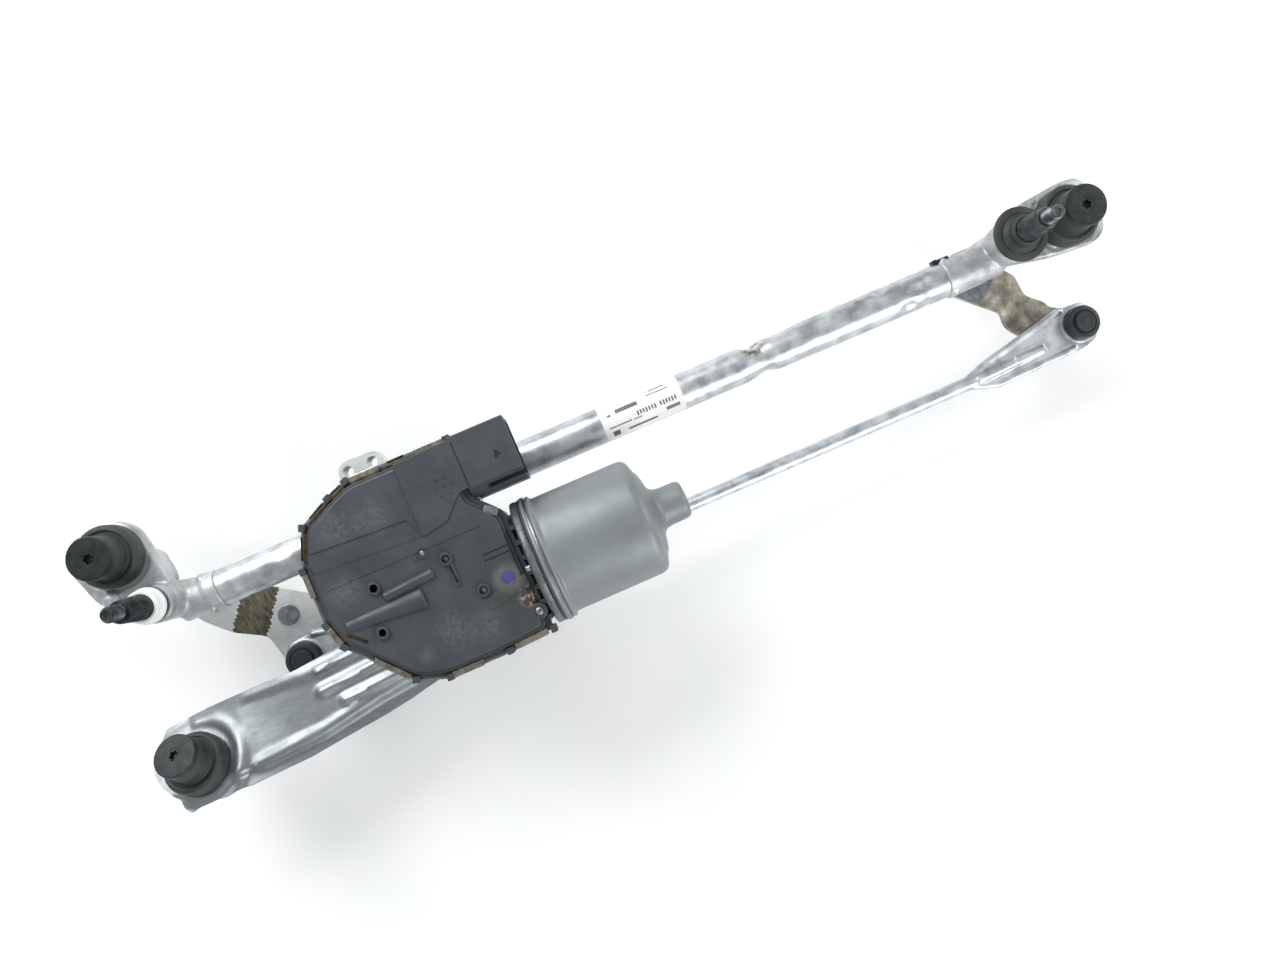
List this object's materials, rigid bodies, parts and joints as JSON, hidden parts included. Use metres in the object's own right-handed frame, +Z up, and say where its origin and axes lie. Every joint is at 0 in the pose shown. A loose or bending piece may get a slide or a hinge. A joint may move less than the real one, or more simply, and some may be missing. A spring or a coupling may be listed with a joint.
{
  "type": "windshield wiper drive assembly",
  "caption": "Wiper linkage for a car: tube frame with pivot housings, worm-geared motor, and levers and rods that sweep both wiper spindles together.",
  "frame": {"origin": "axis of the left body bolt, in the plane of its sleeve's foot, which rests on the vehicle", "axes": "+X along the frame tube to the right spindle, +Z up the spindles towards the wiper arms, +Y from the motor side to the bolt side"},
  "size_m": [0.5907, 0.1586, 0.1317],
  "materials": {
    "galvanised_tube": "bright galvanised steel tube, light spangle",
    "label_film": "white paper label under clear film",
    "cast_aluminium": "shot-blasted cast aluminium, satin",
    "pressed_steel": "galvanised pressed sheet",
    "sintered_bronze": "oil-filled sintered bronze",
    "black_rubber": "moulded black rubber",
    "zinc_steel": "bright zinc plate",
    "black_steel": "black coated steel, satin",
    "phosphated_steel": "phosphated and oiled steel",
    "spring_steel": "ground steel",
    "white_plastic": "moulded white plastic",
    "yellow_zinc_steel": "worn zinc plate with a yellow cast",
    "bright_zinc": "bright zinc plate",
    "socket_plastic": "black acetal",
    "gear_plastic": "natural acetal",
    "ferrite": "sintered ferrite",
    "die_cast_aluminium": "die-cast aluminium",
    "cover_plastic": "glass-filled charcoal plastic",
    "tinned_copper": "tinned copper",
    "board_laminate": "green solder mask",
    "component_plastic": "black moulded plastic",
    "grey_yoke_paint": "grey passivated steel, satin",
    "lamination_steel": "stacked electrical steel",
    "enamelled_copper": "enamelled copper wire",
    "copper_segments": "turned copper",
    "carbon": "copper-graphite"
  },
  "bodies": {
    "frame": {"frame_tube": "galvanised_tube", "tube_label": "label_film", "left_pivot_housing": "cast_aluminium", "right_pivot_housing": "cast_aluminium", "motor_bracket": "pressed_steel", "left_spindle_bushes": "sintered_bronze", "right_spindle_bushes": "sintered_bronze", "left_grommet": "black_rubber", "right_grommet": "black_rubber", "lower_grommet": "black_rubber", "bolt_sleeves": "zinc_steel", "body_bolts": "black_steel", "left_thrust_washers": "zinc_steel", "right_thrust_washers": "zinc_steel", "output_bushes": "sintered_bronze", "gear_housing": "die_cast_aluminium", "housing_screws": "zinc_steel", "cover_seal": "black_rubber", "electronics_cover": "cover_plastic", "cover_clamp_band": "zinc_steel", "connector_terminals": "tinned_copper", "circuit_board": "board_laminate", "board_parts": "component_plastic", "lug_plate": "zinc_steel", "motor_yoke": "grey_yoke_paint", "motor_gasket": "black_rubber", "yoke_screws": "zinc_steel", "motor_bearings": "sintered_bronze", "motor_magnets": "ferrite", "brush_plate": "component_plastic", "carbon_brushes": "carbon"},
    "output_crank": {"output_shaft": "zinc_steel", "worm_wheel": "gear_plastic", "sensor_magnet": "ferrite", "crank_arm": "zinc_steel", "crank_nut": "zinc_steel", "crank_pin": "zinc_steel"},
    "left_lever_set": {"left_spindle": "phosphated_steel", "left_circlip": "spring_steel", "left_spindle_collar": "white_plastic", "left_lever": "yellow_zinc_steel", "left_rod_pin": "zinc_steel", "left_drive_pin": "zinc_steel"},
    "right_lever_set": {"right_spindle": "phosphated_steel", "right_circlip": "spring_steel", "right_spindle_boot": "black_rubber", "right_lever": "yellow_zinc_steel", "right_rod_pin": "zinc_steel"},
    "long_link": {"long_rod": "bright_zinc", "long_rod_left_socket": "socket_plastic", "long_rod_right_socket": "socket_plastic"},
    "short_link": {"short_rod": "bright_zinc", "short_rod_left_socket": "socket_plastic", "short_rod_crank_socket": "socket_plastic"},
    "armature": {"armature_shaft": "spring_steel", "armature_core": "lamination_steel", "armature_windings": "enamelled_copper", "commutator": "copper_segments"}
  },
  "joints": [
    {"name": "output_turn", "type": "hinge", "parent": "frame", "child": "output_crank", "pos_m": [0.139, -0.058, -0.003], "axis": [0, 0, -1], "range_deg": [0, 90]},
    {"name": "left_spindle_turn", "type": "hinge", "parent": "frame", "child": "left_lever_set", "pos_m": [0.013, -0.032, -0.003], "axis": [0, 0, -1], "range_deg": [0, 90]},
    {"name": "right_spindle_turn", "type": "hinge", "parent": "frame", "child": "right_lever_set", "pos_m": [0.506, -0.032, -0.003], "axis": [0, 0, -1], "range_deg": [0, 90]},
    {"name": "long_rod_turn", "type": "hinge", "parent": "left_lever_set", "child": "long_link", "pos_m": [0.0555, -0.09, -0.0305], "axis": [0, 0, -1], "range_deg": [-90, 0]},
    {"name": "short_rod_turn", "type": "hinge", "parent": "output_crank", "child": "short_link", "pos_m": [0.179, -0.089, -0.0515], "axis": [0, 0, -1], "range_deg": [-90, 0]},
    {"name": "armature_spin", "type": "hinge", "parent": "frame", "child": "armature", "pos_m": [0.213, -0.09, 0.025], "axis": [1, 0, 0], "continuous": true}
  ],
  "couplings": [
    {"joint": "left_spindle_turn", "follows": "output_turn", "ratio": 1},
    {"joint": "right_spindle_turn", "follows": "output_turn", "ratio": 1},
    {"joint": "long_rod_turn", "follows": "output_turn", "ratio": -1},
    {"joint": "short_rod_turn", "follows": "output_turn", "ratio": -1},
    {"joint": "armature_spin", "follows": "output_turn", "ratio": 44}
  ]
}
